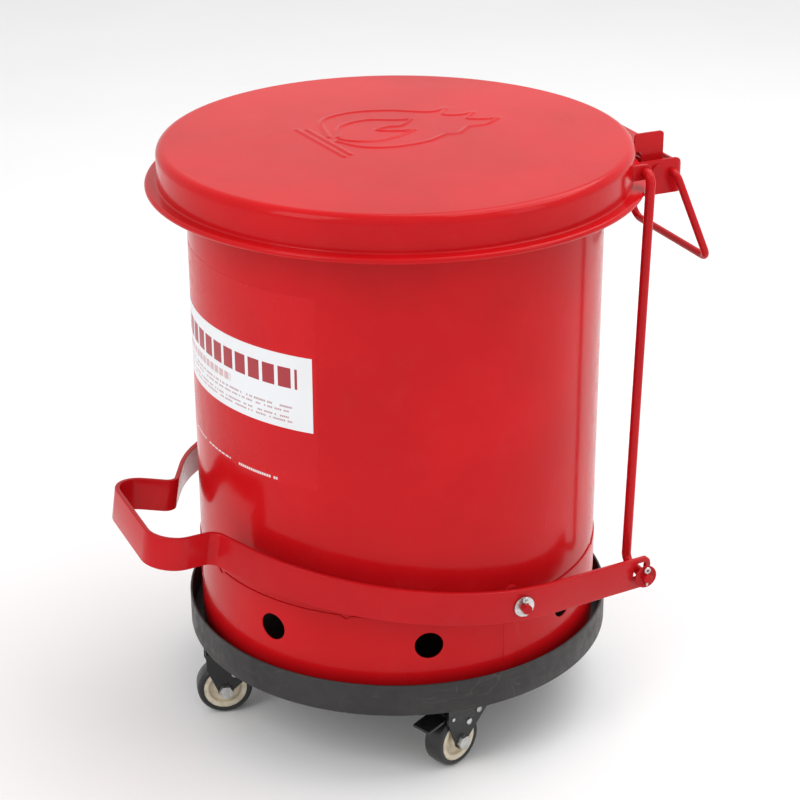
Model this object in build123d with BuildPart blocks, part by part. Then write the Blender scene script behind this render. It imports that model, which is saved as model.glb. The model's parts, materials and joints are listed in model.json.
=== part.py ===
from build123d import *
import math
import os

# Oily waste can: a round steel can with a foot-operated lid, standing in a four-caster dolly.
# Frame: origin on the can's axis at floor level, +Z up, pedal towards -Y, lid hinge towards +Y. Millimetres.

# ---------------------------------------------------------------- driving dimensions
body_radius = 204.0            # outside of the can's wall
can_height = 512.0             # foot of the base skirt to the top of the closed lid
sheet = 1.2                    # sheet steel of the can and the lid
running_clearance = 0.06       # radial, shafts in holes
part_gap = 0.3                 # faces of two moving bodies that pass each other

# lid
lid_overhang = 27.0            # lid skirt outside radius beyond the wall
lid_edge_radius = 8.5          # rounding of the lid's top edge
lid_skirt_depth = 36.0         # lid top to the flange's underside
flange_width = 9.0             # lid skirt to the centre of the rolled bead
flange_bead_radius = 3.0
lid_gap = 0.5                  # can rim to the lid's underside
lid_open_angle = 55.0          # the stop tab meets the bracket here

# can
rim_bead_radius = 5.0          # rolled top edge
skirt_height = 97.0            # base skirt, foot to its top edge
foot_lip = 10.0                # the base skirt's inward foot
bottom_rise = 92.0             # foot to the raised bottom
bottom_flange = 10.0           # depth of the bottom pan's wall
vent_radius = 14.0
vent_height = 66.0             # foot to the vents' centres
vent_count = 8
vent_angle = -15.5             # first vent, degrees from +X
label_half_angle = 43.8
label_height = 75.0
label_drop = 189.0             # lid top to the label's middle
label_thickness = 0.3

# dolly
caster_height = 80.0           # floor to the underside of the dolly plate
floor_thickness = 4.0
ring_clearance = 10.5          # can skirt to the inside of the dolly ring
ring_thickness = 2.5
ring_height = 34.0
caster_count = 4
caster_circle = 172.0          # radius of the swivel axes
caster_trail = 24.0            # swivel axis to wheel axle
trail_angles = (-69.0, 24.0, 118.0, 256.0)   # way each caster trails, degrees from +X
wheel_radius = 29.0
wheel_width = 22.0
tyre_depth = 6.5
tyre_edge_radius = 3.0
hub_rim_depth = 5.0
hub_rim_width = 21.4
hub_web_width = 8.0
boss_radius = 8.0
axle_radius = 4.0
axle_head_flats = 13.0
axle_head_height = 5.0
fork_thickness = 2.5
fork_side_gap = 1.5            # wheel to each fork leg
fork_front = 14.0              # swivel axis to the fork's front edge
fork_rear = 43.0               # and to its rear edge
fork_toe_radius = 8.0          # fork leg's rounded end about the axle
fork_step = 4.0                # brake pivot to the legs' square shoulder
plate_width = 60.0
plate_thickness = 3.0
plate_bolt_spacing = 44.0
plate_corner_radius = 6.0
plate_bolt_radius = 5.5
plate_bolt_height = 3.0
raceway_radius = 17.0
raceway_height = 3.5
kingpin_radius = 5.0
kingpin_head_radius = 9.0
kingpin_head_height = 3.0
fork_crown_thickness = 3.0
fork_rivet_radius = 3.5
fork_rivet_height = 1.2
brake_casters = (0, 2)
brake_pin_radius = 2.0
brake_pin_out = 13.0           # wheel axle to the brake's pivot, along the trail
brake_pin_rise = 31.0          # and up
brake_reach = 30.0             # pivot to the tread's edge
brake_thickness = 3.0
brake_side_gap = 1.5
brake_eye_radius = 3.5

# pedal
strap_height = 34.0            # flat bar, standing on edge
strap_thickness = 5.0
hoop_gap = 22.0                # inside of the pedal hoop to the can wall
hoop_centre_y = 0.0
toe_half_width = 84.0
toe_corner_radius = 26.5
toe_reach = 293.0              # can axis to the toe bar's front face, along the pedal
neck_half_width = 60.0
neck_reach = 225.0             # can axis to the bend where the toe loop meets the hoop
neck_radius = 12.0
arm_end_y = 200.0
arm_angle = 17.0               # rear arms' slant towards the centre plane, degrees
arm_corner_radius = 9.0
pedal_rest_tilt = 8.5          # toe up at rest, degrees
pivot_y = 30.0
pivot_above_foot = 106.5
stud_radius = 4.75
stud_tail = 8.0                # stud length beyond the hoop's widest face
stud_base_radius = 9.0
stud_base_height = 3.0
washer_radius = 10.5
washer_thickness = 1.6
cotter_radius = 1.2

# lift rod
rod_radius = 4.75
rod_x = 152.0
rod_y = 196.5                   # the rod's upper pivot
rod_foot_y = 188.0              # and its foot: the rod leans
rod_bend = 9.0                 # centre-line radius of the elbows
rod_tip_reach = 16.0           # rod to its upper tip
rod_foot_reach = 46.0          # rod to the end of its foot
lug_drop = 20.0                # lid top to the lift rod's upper pivot
lug_radius = 7.5
lug_thickness = 3.0
lug_reach = 12.0               # rod to the middle of the lug
rod_washer_radius = 12.0
rod_washer_gap = 1.0           # arm to the rod's washer where the foot comes nearest
cap_radius = 6.0
cap_height = 4.0
slot_lift = 7.1                # free travel of the rod's foot in the pedal slot, up
slot_back = 6.9                # and towards the pedal

# lid hinge and its bracket
hinge_y_offset = 58.0          # can wall to the lid hinge axis
hinge_drop = 53.0              # lid top to the lid hinge axis
hinge_pin_radius = 4.0
pin_head_radius = 6.5
pin_head_height = 2.5
leaf_half_width = 43.0
leaf_thickness = 2.0
leaf_eye_radius = 12.0
stop_front = 20.0              # hinge axis to the stop tab's front edge
stop_rear = 13.0               # and to its rear edge
stop_height = 19.0             # stop tab above the leaf's web
stop_corner_radius = 4.0
ear_half_width = 54.5
ear_thickness = 2.5
ear_top_drop = 1.2             # lid bead to the ears' top edge
ear_depth = 36.0
bracket_bend = 8.0             # outside radius where the ears turn into the rear web
bracket_rear_y = 293.0
plate_half_angle = 20.0
rivet_angle = 9.0
rivet_drops = (3.0, 18.0)       # hinge axis to the rivets
rivet_radius = 3.0
rivet_head_radius = 5.5
rivet_head_height = 2.2
spacer_radius = 7.0
leaf_rivet_count = 3
leaf_rivet_angle = 7.0
leaf_rivet_radius = 2.2
leaf_rivet_height = 1.2
leaf_rivet_inset = 3.0         # lid wall to the rivets

# carrying handle
handle_wire_radius = 4.0
handle_y_offset = 75.5         # can wall to the handle's pivot
handle_pivot_drop = 56.0       # lid top to the handle's pivot
handle_knee = 64.0
handle_half_width = 72.0
handle_length = 99.0
handle_bend = 9.0
handle_swing = 21.6            # degrees out from hanging straight
handle_head_radius = 5.5
handle_head_width = 2.5

# ---------------------------------------------------------------- worked-out places
foot_z = caster_height + floor_thickness
lid_top_z = foot_z + can_height
lid_radius = body_radius + lid_overhang
flange_z = lid_top_z - lid_skirt_depth
flange_radius = lid_radius + flange_width
bead_z = flange_z + sheet - flange_bead_radius
skirt_radius = body_radius + sheet
bottom_z = foot_z + bottom_rise
rim_z = lid_top_z - sheet - lid_gap - rim_bead_radius
rim_radius = body_radius + rim_bead_radius - sheet
label_z = lid_top_z - label_drop

ring_inner = skirt_radius + ring_clearance
ring_outer = ring_inner + ring_thickness
plate_z = caster_height - plate_thickness
crown_z = plate_z - raceway_height - part_gap
axle_z = wheel_radius
hub_radius = wheel_radius - tyre_depth
kingpin_z = crown_z - fork_crown_thickness - part_gap
fork_inner = wheel_width / 2 + fork_side_gap
fork_outer = fork_inner + fork_thickness
brake_u = caster_trail + brake_pin_out
brake_z = axle_z + brake_pin_rise

pivot_z = foot_z + pivot_above_foot
hoop_inner = body_radius + hoop_gap
hoop_middle = hoop_inner + strap_thickness / 2
hoop_outer = hoop_inner + strap_thickness
tilt = math.radians(pedal_rest_tilt)
slant = math.radians(arm_angle)
stud_end_x = hoop_outer + stud_tail
stud_face_x = math.sqrt(hoop_outer**2 - (pivot_y - hoop_centre_y - washer_radius)**2) + part_gap
stud_pin_x = stud_face_x + washer_thickness + 2 * cotter_radius

rod_foot_z = pivot_z - (rod_foot_y - pivot_y) * math.tan(tilt)
lug_x = rod_x - lug_reach
lug_z = lid_top_z - lug_drop
arm_outer_x = (hoop_outer - (rod_foot_y - hoop_centre_y) * math.sin(slant)) / math.cos(slant)
rod_washer_x = arm_outer_x + (rod_washer_radius + slot_back) * math.tan(slant) + rod_washer_gap

hinge_y = body_radius + hinge_y_offset
hinge_z = lid_top_z - hinge_drop
web_z = flange_z + sheet
ear_top_z = bead_z - flange_bead_radius - ear_top_drop
ear_bottom_z = ear_top_z - ear_depth
ear_inner_x = ear_half_width - ear_thickness
rear_web_y = bracket_rear_y - ear_thickness
opening = math.radians(lid_open_angle)
stop_meets_z = hinge_z + ((rear_web_y - hinge_y) * math.cos(opening) - stop_rear) / math.sin(opening)
rear_web_top_z = stop_meets_z - part_gap
corner_drop = ear_top_z - rear_web_top_z
rivet_spots = [(90 + side * rivet_angle, hinge_z - drop) for side in (-1, 1) for drop in rivet_drops]

handle_y = body_radius + handle_y_offset
handle_z = lid_top_z - handle_pivot_drop
handle_tip_x = leaf_half_width + leaf_thickness + part_gap
swing = math.radians(handle_swing)

os.makedirs("parts", exist_ok=True)


def save(piece, name):
    """Label one finished piece and write it as its own STEP file."""
    piece.part.label = name
    export_step(piece.part, f"parts/{name}.step")


def across(x):
    """A sketch plane facing +X at x, whose own axes are Y and Z."""
    return Plane(origin=(x, 0, 0), x_dir=(0, 1, 0), z_dir=(1, 0, 0))


def half_plane(angle):
    """The upright plane through the can's axis at an angle from +X; its own axes are radius and Z."""
    turn = math.radians(angle)
    return Plane(origin=(0, 0, 0), x_dir=(math.cos(turn), math.sin(turn), 0),
                 z_dir=(math.sin(turn), -math.cos(turn), 0))


def facing_out(angle, height, radius=0.0):
    """A sketch plane that faces away from the can's axis, centred at a radius and a height."""
    turn = math.radians(angle)
    return Plane(origin=(radius * math.cos(turn), radius * math.sin(turn), height),
                 x_dir=(0, 0, 1), z_dir=(math.cos(turn), math.sin(turn), 0))


def round_bar(face_x, length, y, z, radius):
    """A round bar along X from face_x, as a separate piece to add to a builder."""
    return Plane(origin=(face_x, y, z), x_dir=(0, 1, 0), z_dir=(1, 0, 0)) * Cylinder(
        radius, length, align=(Align.CENTER, Align.CENTER, Align.MIN), mode=Mode.PRIVATE)


# ---------------------------------------------------------------- can
with BuildPart() as can_shell:
    with BuildSketch(Plane.XZ):
        with Locations((body_radius - sheet, bottom_z - bottom_flange)):
            Rectangle(sheet, rim_z - bottom_z + bottom_flange, align=(Align.MIN, Align.MIN))
        with Locations((rim_radius, rim_z)):
            Circle(rim_bead_radius)
    revolve(axis=Axis.Z)
    for angle, height in rivet_spots:
        with BuildSketch(facing_out(angle, height)):
            Circle(rivet_radius)
        extrude(amount=2 * body_radius, mode=Mode.SUBTRACT)
save(can_shell, "can_shell")

with BuildPart() as can_bottom:
    with BuildSketch(Plane.XY.offset(bottom_z - bottom_flange)):
        Circle(body_radius - sheet)
    extrude(amount=bottom_flange)
    with BuildSketch(Plane.XY.offset(bottom_z - bottom_flange)):
        Circle(body_radius - 2 * sheet)
    extrude(amount=bottom_flange - sheet, mode=Mode.SUBTRACT)
save(can_bottom, "can_bottom")

with BuildPart() as base_skirt:
    with BuildSketch(Plane.XZ):
        with Locations((body_radius, foot_z)):
            Rectangle(sheet, skirt_height, align=(Align.MIN, Align.MIN))
        with Locations((skirt_radius, foot_z)):
            Rectangle(foot_lip, sheet, align=(Align.MAX, Align.MIN))
    revolve(axis=Axis.Z)
    for number in range(vent_count):
        with BuildSketch(facing_out(vent_angle + number * 360 / vent_count, foot_z + vent_height)):
            Circle(vent_radius)
        extrude(amount=2 * body_radius, mode=Mode.SUBTRACT)
save(base_skirt, "base_skirt")

with BuildPart() as label_band:
    with BuildSketch(half_plane(-90 - label_half_angle)):
        with Locations((body_radius, label_z)):
            Rectangle(label_thickness, label_height, align=(Align.MIN, Align.CENTER))
    revolve(axis=Axis.Z, revolution_arc=2 * label_half_angle)
save(label_band, "label_band")

# ---------------------------------------------------------------- hinge bracket, riveted to the can
with BuildPart() as hinge_bracket:
    with BuildSketch(half_plane(90 - plate_half_angle)):
        with Locations((body_radius, ear_bottom_z)):
            Rectangle(ear_thickness, ear_depth, align=(Align.MIN, Align.MIN))
    revolve(axis=Axis.Z, revolution_arc=2 * plate_half_angle)
    with BuildSketch(Plane.XY.offset(ear_bottom_z)):
        with BuildLine():
            ear_middle_x = ear_half_width - ear_thickness / 2
            web_middle_y = bracket_rear_y - ear_thickness / 2
            FilletPolyline((-ear_middle_x, body_radius - foot_lip), (-ear_middle_x, web_middle_y),
                           (ear_middle_x, web_middle_y), (ear_middle_x, body_radius - foot_lip),
                           radius=bracket_bend - ear_thickness / 2)
            offset(amount=ear_thickness / 2)
        make_face()
    extrude(amount=ear_depth)
    with BuildSketch(across(-ear_half_width)):
        with Locations((bracket_rear_y, ear_top_z)):
            Rectangle(ear_thickness + corner_drop, corner_drop, align=(Align.MAX, Align.MAX))
        with Locations((rear_web_y - corner_drop, rear_web_top_z)):
            Circle(corner_drop, mode=Mode.SUBTRACT)
        with Locations((hinge_y, hinge_z)):
            Circle(hinge_pin_radius)
        with Locations((handle_y, handle_z)):
            Circle(handle_wire_radius + running_clearance)
    extrude(amount=2 * ear_half_width, mode=Mode.SUBTRACT)
    with BuildSketch(Plane.XY.offset(ear_bottom_z)):
        Circle(body_radius)
    extrude(amount=ear_depth, mode=Mode.SUBTRACT)
    for angle, height in rivet_spots:
        with BuildSketch(facing_out(angle, height)):
            Circle(rivet_radius)
        extrude(amount=body_radius + 2 * ear_thickness, mode=Mode.SUBTRACT)
save(hinge_bracket, "hinge_bracket")

with BuildPart() as bracket_rivets:
    for angle, height in rivet_spots:
        with BuildSketch(facing_out(angle, height, body_radius - sheet)):
            Circle(rivet_radius)
        extrude(amount=sheet + ear_thickness)
        with BuildSketch(facing_out(angle, height, body_radius + ear_thickness)):
            Circle(rivet_head_radius)
        extrude(amount=rivet_head_height, taper=30)
save(bracket_rivets, "bracket_rivets")

with BuildPart() as hinge_pin:
    add(round_bar(-ear_half_width, 2 * ear_half_width, hinge_y, hinge_z, hinge_pin_radius))
    for face_x in (-ear_half_width - pin_head_height, ear_half_width):
        add(round_bar(face_x, pin_head_height, hinge_y, hinge_z, pin_head_radius))
save(hinge_pin, "hinge_pin")

spacer_length = ear_inner_x - leaf_half_width - part_gap
with BuildPart() as hinge_spacers:
    for face_x in (leaf_half_width + part_gap, -ear_inner_x):
        add(round_bar(face_x, spacer_length, hinge_y, hinge_z, spacer_radius))
        add(round_bar(face_x, spacer_length, hinge_y, hinge_z, hinge_pin_radius), mode=Mode.SUBTRACT)
save(hinge_spacers, "hinge_spacers")

# ---------------------------------------------------------------- lid
with BuildPart() as lid_cover:
    with BuildSketch(Plane.XZ):
        with BuildLine():
            Line((0, lid_top_z), (lid_radius - lid_edge_radius, lid_top_z))
            CenterArc((lid_radius - lid_edge_radius, lid_top_z - lid_edge_radius), lid_edge_radius, 90, -90)
            Polyline((lid_radius, lid_top_z - lid_edge_radius), (lid_radius, web_z), (flange_radius, web_z),
                     (flange_radius, flange_z), (lid_radius - sheet, flange_z),
                     (lid_radius - sheet, lid_top_z - lid_edge_radius))
            CenterArc((lid_radius - lid_edge_radius, lid_top_z - lid_edge_radius),
                      lid_edge_radius - sheet, 0, 90)
            Polyline((lid_radius - lid_edge_radius, lid_top_z - sheet), (0, lid_top_z - sheet), (0, lid_top_z))
        make_face()
        with Locations((flange_radius, bead_z)):
            Circle(flange_bead_radius)
    revolve(axis=Axis.Z)
save(lid_cover, "lid_cover")

with BuildPart() as hinge_leaf:
    with BuildSketch(Plane.XY.offset(web_z)):
        with Locations((0, lid_radius - flange_width)):
            Rectangle(2 * leaf_half_width, hinge_y + stop_rear - lid_radius + flange_width,
                      align=(Align.CENTER, Align.MIN))
    extrude(amount=leaf_thickness)
    for inner_face, top_z in ((-leaf_half_width, web_z + leaf_thickness),
                              (leaf_half_width - leaf_thickness, web_z + stop_height)):
        with BuildSketch(across(inner_face)) as side_plate:
            with BuildLine():
                Polyline((hinge_y - stop_front, web_z), (hinge_y - stop_front, top_z),
                         (hinge_y + stop_rear, top_z), (hinge_y + stop_rear, hinge_z),
                         (hinge_y - leaf_eye_radius, hinge_z), (hinge_y - leaf_eye_radius, web_z), close=True)
            make_face()
            fillet(side_plate.vertices().group_by(Axis.Z)[-1], min(stop_corner_radius, (top_z - web_z) / 2))
            with Locations((hinge_y, hinge_z)):
                Circle(leaf_eye_radius)
            with Locations((hinge_y, hinge_z)):
                Circle(hinge_pin_radius + running_clearance, mode=Mode.SUBTRACT)
        extrude(amount=leaf_thickness)
    with BuildSketch(Plane.XY.offset(web_z)):
        Circle(lid_radius)
    extrude(amount=stop_height, mode=Mode.SUBTRACT)
save(hinge_leaf, "hinge_leaf")

with BuildPart() as leaf_rivets:
    with BuildSketch(Plane.XY.offset(web_z + leaf_thickness)):
        with PolarLocations(lid_radius + leaf_rivet_inset, leaf_rivet_count, 90 - leaf_rivet_angle,
                            2 * leaf_rivet_angle, endpoint=True):
            Circle(leaf_rivet_radius)
    extrude(amount=leaf_rivet_height, taper=20)
save(leaf_rivets, "leaf_rivets")

with BuildPart() as lift_lug:
    with BuildSketch(across(lug_x - lug_thickness / 2)):
        with Locations((rod_y, lug_z)):
            Circle(lug_radius)
            Rectangle(2 * lug_radius, 2 * lug_radius, align=(Align.MAX, Align.CENTER))
            Circle(rod_radius + running_clearance, mode=Mode.SUBTRACT)
    extrude(amount=lug_thickness)
    with BuildSketch(Plane.XY.offset(lug_z - lug_radius)):
        Circle(lid_radius)
    extrude(amount=2 * lug_radius, mode=Mode.SUBTRACT)
save(lift_lug, "lift_lug")

# ---------------------------------------------------------------- lift rod
tip_x = rod_x - rod_tip_reach
foot_x = rod_x + rod_foot_reach
cotter_x = rod_washer_x + washer_thickness + 2 * cotter_radius
with BuildPart() as lift_rod:
    with BuildLine(across(0)):
        FilletPolyline((rod_y, lug_z, tip_x), (rod_y, lug_z, rod_x), (rod_foot_y, rod_foot_z, rod_x),
                       (rod_foot_y, rod_foot_z, foot_x), radius=rod_bend)
    with BuildSketch(across(tip_x)):
        with Locations((rod_y, lug_z)):
            Circle(rod_radius)
    sweep()
    with BuildSketch(Plane.XY.offset(rod_foot_z - rod_radius)):
        with Locations((cotter_x, rod_foot_y)):
            Circle(cotter_radius)
    extrude(amount=2 * rod_radius, mode=Mode.SUBTRACT)
save(lift_rod, "lift_rod")

with BuildPart() as rod_cap:
    add(round_bar(tip_x - cap_height, cap_height, rod_y, lug_z, cap_radius))
    fillet(rod_cap.edges().group_by(Axis.X)[0], cap_height / 2)
save(rod_cap, "rod_cap")

with BuildPart() as rod_washer:
    add(round_bar(rod_washer_x, washer_thickness, rod_foot_y, rod_foot_z, rod_washer_radius))
    add(round_bar(rod_washer_x, washer_thickness, rod_foot_y, rod_foot_z, rod_radius), mode=Mode.SUBTRACT)
save(rod_washer, "rod_washer")


def split_pins(spots, shaft_radius):
    """Upright split pins through shafts that lie along X, each with its eye on top."""
    with BuildPart() as pins:
        for x, y, z in spots:
            with Locations((x, y, z - shaft_radius - 3 * cotter_radius)):
                Cylinder(cotter_radius, 2 * shaft_radius + 4 * cotter_radius,
                         align=(Align.CENTER, Align.CENTER, Align.MIN))
            with Locations(Location((x, y, z + shaft_radius + 3 * cotter_radius), (0, 90, 0))):
                Torus(2 * cotter_radius, cotter_radius)
    return pins


save(split_pins([(cotter_x, rod_foot_y, rod_foot_z)], rod_radius), "rod_cotter")

# ---------------------------------------------------------------- pedal and its pivots on the can
pedal_plane = Plane(origin=(0, pivot_y, pivot_z), x_dir=(1, 0, 0), z_dir=(0, math.sin(tilt), math.cos(tilt)))
neck_distance = math.hypot(neck_half_width, neck_reach + hoop_centre_y)
neck_turn = math.atan2(-neck_reach - hoop_centre_y, neck_half_width)
meeting = math.degrees(neck_turn + math.acos(hoop_middle / neck_distance))
meeting_point = (hoop_middle * math.cos(math.radians(meeting)),
                 hoop_centre_y - pivot_y + hoop_middle * math.sin(math.radians(meeting)))

with BuildPart() as pedal_loop:
    with BuildSketch(pedal_plane.offset(-strap_height / 2)):
        with BuildLine():
            FilletPolyline((0, strap_thickness / 2 - toe_reach - pivot_y),
                           (toe_half_width - strap_thickness / 2, strap_thickness / 2 - toe_reach - pivot_y),
                           (neck_half_width, -neck_reach - pivot_y), meeting_point,
                           radius=(toe_corner_radius, neck_radius))
            CenterArc((0, hoop_centre_y - pivot_y), hoop_middle, meeting, arm_angle - meeting)
            arm_root = (hoop_middle * math.cos(slant), hoop_centre_y - pivot_y + hoop_middle * math.sin(slant))
            arm_run = arm_end_y - pivot_y + strap_thickness - arm_root[1]
            Line(arm_root, (arm_root[0] - arm_run * math.tan(slant), arm_root[1] + arm_run))
            mirror(about=Plane.YZ)
            offset(amount=strap_thickness / 2)
        make_face()
    extrude(amount=strap_height)
    pedal_side = Plane(origin=pedal_plane.origin, x_dir=pedal_plane.y_dir, z_dir=(1, 0, 0))
    with BuildSketch(pedal_side.offset(-hoop_outer)) as side_view:
        with Locations((arm_end_y - pivot_y, 0)):
            Rectangle(toe_reach + arm_end_y, strap_height, align=(Align.MAX, Align.CENTER))
        fillet(side_view.vertices().group_by(Axis.Y)[-1], arm_corner_radius)
    extrude(amount=2 * hoop_outer, mode=Mode.INTERSECT)
    with BuildSketch(across(-stud_end_x)):
        with Locations((pivot_y, pivot_z)):
            Circle(stud_radius + running_clearance)
    extrude(amount=2 * stud_end_x, mode=Mode.SUBTRACT)
    slot_edge = rod_radius + part_gap
    with BuildSketch(pedal_side.offset(rod_x)) as slot:
        with Locations(((rod_foot_y - pivot_y) / math.cos(tilt) + slot_edge, -slot_edge)):
            Rectangle(slot_back + 2 * slot_edge, slot_lift + 2 * slot_edge, align=(Align.MAX, Align.MIN))
        fillet(slot.vertices(), slot_edge)
    extrude(amount=rod_foot_reach, mode=Mode.SUBTRACT)
save(pedal_loop, "pedal_loop")

stud_root_x = body_radius - stud_base_radius
with BuildPart() as pedal_studs:
    for side in (-1, 1):
        for end_x, radius in ((stud_end_x, stud_radius), (body_radius + stud_base_height, stud_base_radius)):
            start_x = min(side * stud_root_x, side * end_x)
            add(round_bar(start_x, end_x - stud_root_x, pivot_y, pivot_z, radius))
    with BuildSketch(Plane.XY.offset(pivot_z - stud_base_radius)):
        Circle(body_radius)
        with Locations((-stud_pin_x, pivot_y), (stud_pin_x, pivot_y)):
            Circle(cotter_radius)
    extrude(amount=2 * stud_base_radius, mode=Mode.SUBTRACT)
save(pedal_studs, "pedal_studs")

with BuildPart() as pivot_washers:
    for face_x in (-stud_face_x - washer_thickness, stud_face_x):
        add(round_bar(face_x, washer_thickness, pivot_y, pivot_z, washer_radius))
        add(round_bar(face_x, washer_thickness, pivot_y, pivot_z, stud_radius), mode=Mode.SUBTRACT)
save(pivot_washers, "pivot_washers")

save(split_pins([(-stud_pin_x, pivot_y, pivot_z), (stud_pin_x, pivot_y, pivot_z)], stud_radius),
     "pivot_cotters")

# ---------------------------------------------------------------- carrying handle
handle_plane = Plane(origin=(0, handle_y, handle_z), x_dir=(1, 0, 0),
                     z_dir=(0, math.cos(swing), math.sin(swing)))
with BuildPart() as carry_handle:
    with BuildLine(handle_plane):
        FilletPolyline((-handle_tip_x, 0), (-handle_knee, 0), (-handle_half_width, handle_length),
                       (handle_half_width, handle_length), (handle_knee, 0), (handle_tip_x, 0),
                       radius=handle_bend)
    with BuildSketch(across(-handle_tip_x)):
        with Locations((handle_y, handle_z)):
            Circle(handle_wire_radius)
    sweep()
    for face_x in (-handle_tip_x - handle_head_width, handle_tip_x):
        add(round_bar(face_x, handle_head_width, handle_y, handle_z, handle_head_radius))
save(carry_handle, "carry_handle")

# ---------------------------------------------------------------- dolly
with BuildPart() as dolly_floor:
    with BuildSketch(Plane.XY.offset(caster_height)):
        Circle(ring_inner)
    extrude(amount=floor_thickness)
save(dolly_floor, "dolly_floor")

with BuildPart() as dolly_ring:
    with BuildSketch(Plane.XY.offset(caster_height)):
        Circle(ring_outer)
        Circle(ring_inner, mode=Mode.SUBTRACT)
    extrude(amount=ring_height)
save(dolly_ring, "dolly_ring")


def spot(number):
    """Where a caster's swivel axis meets the floor."""
    turn = math.radians(number * 360 / caster_count)
    return caster_circle * math.cos(turn), caster_circle * math.sin(turn)


def level(number, height):
    """A level sketch plane at a caster's swivel axis; its own X runs along the caster's trail."""
    turn = math.radians(trail_angles[number])
    return Plane(origin=(*spot(number), height), x_dir=(math.cos(turn), math.sin(turn), 0), z_dir=(0, 0, 1))


def upright(number, side_step):
    """An upright sketch plane along a caster's trail, a step to one side of its swivel axis."""
    turn = math.radians(trail_angles[number])
    return Plane(origin=(*spot(number), 0), x_dir=(math.cos(turn), math.sin(turn), 0),
                 z_dir=(math.sin(turn), -math.cos(turn), 0)).offset(side_step)


def plate(number):
    """Top plate with its raceway and kingpin, square to the dolly's radius."""
    with BuildPart() as piece:
        with BuildSketch(Plane(origin=(*spot(number), plate_z))):
            RectangleRounded(plate_width, plate_width, plate_corner_radius)
        extrude(amount=plate_thickness)
        for top, height, radius in ((plate_z, raceway_height, raceway_radius),
                                    (plate_z, plate_z - kingpin_z, kingpin_radius),
                                    (kingpin_z, kingpin_head_height, kingpin_head_radius)):
            with BuildSketch(Plane(origin=(*spot(number), top))):
                Circle(radius)
            extrude(amount=-height)
    return piece


def fork(number):
    """Swivel fork: crown, two legs and their rivets, bored for the kingpin, the axle and the brake pin."""
    with BuildPart() as piece:
        with BuildSketch(level(number, crown_z)):
            with Locations((-fork_front, 0)):
                Rectangle(fork_front + fork_rear, 2 * fork_outer, align=(Align.MIN, Align.CENTER))
            Circle(raceway_radius)
            Circle(kingpin_radius + running_clearance, mode=Mode.SUBTRACT)
        extrude(amount=-fork_crown_thickness)
        for inner_side in (-fork_outer, fork_inner):
            with BuildSketch(upright(number, inner_side)):
                with BuildLine():
                    Polyline((-fork_front, crown_z), (fork_rear, crown_z), (fork_rear, brake_z - fork_step),
                             (caster_trail + fork_toe_radius, axle_z),
                             (caster_trail - fork_toe_radius, axle_z),
                             (-fork_front, brake_z - fork_step), close=True)
                make_face()
                with Locations((caster_trail, axle_z)):
                    Circle(fork_toe_radius)
                    Circle(axle_radius, mode=Mode.SUBTRACT)
                if number in brake_casters:
                    with Locations((brake_u, brake_z)):
                        Circle(brake_pin_radius, mode=Mode.SUBTRACT)
            extrude(amount=fork_thickness)
        for face, outward in ((fork_outer, 1), (-fork_outer, -1)):
            with BuildSketch(upright(number, face)):
                with Locations((0, brake_z - fork_step), (fork_front, brake_z - 3 * fork_step)):
                    Circle(fork_rivet_radius)
            extrude(amount=outward * fork_rivet_height, taper=20)
    return piece


def tyre(number):
    """Black tread, a ring about the axle."""
    with BuildPart() as piece:
        with BuildSketch(upright(number, -wheel_width / 2)):
            with Locations((caster_trail, axle_z)):
                Circle(wheel_radius)
        extrude(amount=wheel_width)
        fillet(piece.edges().filter_by(GeomType.CIRCLE), tyre_edge_radius)
        with BuildSketch(upright(number, -wheel_width / 2)):
            with Locations((caster_trail, axle_z)):
                Circle(hub_radius)
        extrude(amount=wheel_width, mode=Mode.SUBTRACT)
    return piece


def hub(number):
    """Wheel centre: rim, thin web and a boss, bored for the axle."""
    with BuildPart() as piece:
        with BuildSketch(upright(number, -hub_rim_width / 2)):
            with Locations((caster_trail, axle_z)):
                Circle(hub_radius)
                Circle(hub_radius - hub_rim_depth, mode=Mode.SUBTRACT)
        extrude(amount=hub_rim_width)
        for radius, width in ((hub_radius, hub_web_width), (boss_radius, 2 * fork_inner - 2 * part_gap)):
            with BuildSketch(upright(number, -width / 2)):
                with Locations((caster_trail, axle_z)):
                    Circle(radius)
            extrude(amount=width)
        with BuildSketch(upright(number, -fork_outer)):
            with Locations((caster_trail, axle_z)):
                Circle(axle_radius + running_clearance)
        extrude(amount=2 * fork_outer, mode=Mode.SUBTRACT)
    return piece


def axle(number):
    """Axle bolt with a hexagon head on one side and its nut on the other."""
    with BuildPart() as piece:
        with BuildSketch(upright(number, -fork_outer)):
            with Locations((caster_trail, axle_z)):
                Circle(axle_radius)
        extrude(amount=2 * fork_outer)
        for face in (-fork_outer - axle_head_height, fork_outer):
            with BuildSketch(upright(number, face)):
                with Locations((caster_trail, axle_z)):
                    RegularPolygon(axle_head_flats / 2, 6, major_radius=False)
            extrude(amount=axle_head_height)
    return piece


def brake_pin(number):
    """Plain pin through both fork legs."""
    with BuildPart() as piece:
        with BuildSketch(upright(number, -fork_outer - fork_rivet_height)):
            with Locations((brake_u, brake_z)):
                Circle(brake_pin_radius)
        extrude(amount=2 * (fork_outer + fork_rivet_height))
    return piece


def brake_lever(number):
    """Foot brake between the fork legs: an eye on its pin and a tread that reaches out behind the wheel."""
    half_width = fork_inner - brake_side_gap
    with BuildPart() as piece:
        with BuildSketch(upright(number, -half_width)):
            with BuildLine():
                Polyline((brake_u, brake_z + brake_thickness / 2),
                         (brake_u + brake_reach, brake_z - brake_thickness),
                         (brake_u + brake_reach, brake_z - 2 * brake_thickness),
                         (brake_u, brake_z - brake_thickness / 2), close=True)
            make_face()
            with Locations((brake_u, brake_z)):
                Circle(brake_eye_radius)
            with Locations((brake_u, brake_z)):
                Circle(brake_pin_radius + running_clearance, mode=Mode.SUBTRACT)
        extrude(amount=2 * half_width)
    return piece


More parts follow.
